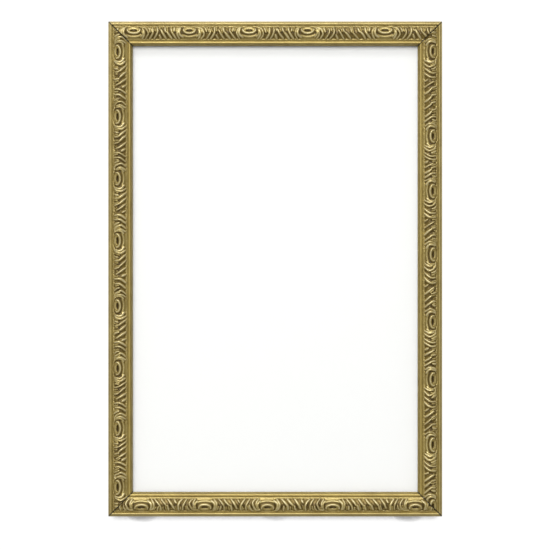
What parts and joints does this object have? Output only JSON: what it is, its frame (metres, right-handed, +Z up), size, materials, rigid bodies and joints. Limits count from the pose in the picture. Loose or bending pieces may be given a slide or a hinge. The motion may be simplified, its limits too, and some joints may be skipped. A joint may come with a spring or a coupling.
{
  "type": "picture frame",
  "caption": "Upright rectangular picture frame: a gilt wood moulding with oval and flute relief round glass and a blank white sheet, with turn buttons and D-ring hangers on the back.",
  "frame": {"origin": "the middle of the frame's width and height, on the wall plane that the four bumpers touch", "axes": "+Z up along the frame's height, +X to the right of someone looking at its face, +Y back into the wall; the face looks along -Y"},
  "size_m": [0.3156, 0.0194, 0.468],
  "materials": {
    "gilt_moulding": "antique gilt over wood, worn olive-brown in the hollows",
    "gilt_relief": "antique gilt over pressed composition, dark patina in the hollows",
    "nail_steel": "blank pressed steel",
    "clear_glass": "clear float glass",
    "white_sheet": "smooth white mount board",
    "brown_board": "smooth pressed hardboard",
    "zinc_steel": "zinc-plated pressed steel",
    "ring_steel": "nickel-plated round wire",
    "felt_pad": "pale soft rubber"
  },
  "bodies": {
    "root": {"rail_top": "gilt_moulding", "rail_right": "gilt_moulding", "rail_bottom": "gilt_moulding", "rail_left": "gilt_moulding", "ornament_top": "gilt_relief", "ornament_right": "gilt_relief", "ornament_bottom": "gilt_relief", "ornament_left": "gilt_relief", "v_nails_top_right": "nail_steel", "v_nails_bottom_right": "nail_steel", "v_nails_bottom_left": "nail_steel", "v_nails_top_left": "nail_steel", "glass_pane": "clear_glass", "blank_sheet": "white_sheet", "backing_board": "brown_board", "button_screws": "zinc_steel", "hanger_strap_left": "zinc_steel", "hanger_strap_right": "zinc_steel", "hanger_screws": "zinc_steel", "bumper_top_left": "felt_pad", "bumper_top_right": "felt_pad", "bumper_bottom_left": "felt_pad", "bumper_bottom_right": "felt_pad"},
    "turn_button_top": {"turn_button_top": "zinc_steel"},
    "turn_button_right_upper": {"turn_button_right_upper": "zinc_steel"},
    "turn_button_right_lower": {"turn_button_right_lower": "zinc_steel"},
    "turn_button_bottom": {"turn_button_bottom": "zinc_steel"},
    "turn_button_left_lower": {"turn_button_left_lower": "zinc_steel"},
    "turn_button_left_upper": {"turn_button_left_upper": "zinc_steel"},
    "hanger_ring_left": {"hanger_ring_left": "ring_steel"},
    "hanger_ring_right": {"hanger_ring_right": "ring_steel"}
  },
  "joints": [
    {"name": "button_top_turn", "type": "hinge", "parent": "root", "child": "turn_button_top", "pos_m": [0, -0.0033, 0.22575], "axis": [0, 1, 0], "continuous": true},
    {"name": "button_right_upper_turn", "type": "hinge", "parent": "root", "child": "turn_button_right_upper", "pos_m": [0.14955, -0.0033, 0.0702], "axis": [0, 1, 0], "continuous": true},
    {"name": "button_right_lower_turn", "type": "hinge", "parent": "root", "child": "turn_button_right_lower", "pos_m": [0.14955, -0.0033, -0.0702], "axis": [0, 1, 0], "continuous": true},
    {"name": "button_bottom_turn", "type": "hinge", "parent": "root", "child": "turn_button_bottom", "pos_m": [0, -0.0033, -0.22575], "axis": [0, 1, 0], "continuous": true},
    {"name": "button_left_lower_turn", "type": "hinge", "parent": "root", "child": "turn_button_left_lower", "pos_m": [-0.14955, -0.0033, -0.0702], "axis": [0, 1, 0], "continuous": true},
    {"name": "button_left_upper_turn", "type": "hinge", "parent": "root", "child": "turn_button_left_upper", "pos_m": [-0.14955, -0.0033, 0.0702], "axis": [0, 1, 0], "continuous": true},
    {"name": "ring_left_swing", "type": "hinge", "parent": "root", "child": "hanger_ring_left", "pos_m": [-0.14955, -0.0021, 0.117], "axis": [1, 0, 0], "range_deg": [0, 180]},
    {"name": "ring_right_swing", "type": "hinge", "parent": "root", "child": "hanger_ring_right", "pos_m": [0.14955, -0.0021, 0.117], "axis": [1, 0, 0], "range_deg": [0, 180]}
  ]
}
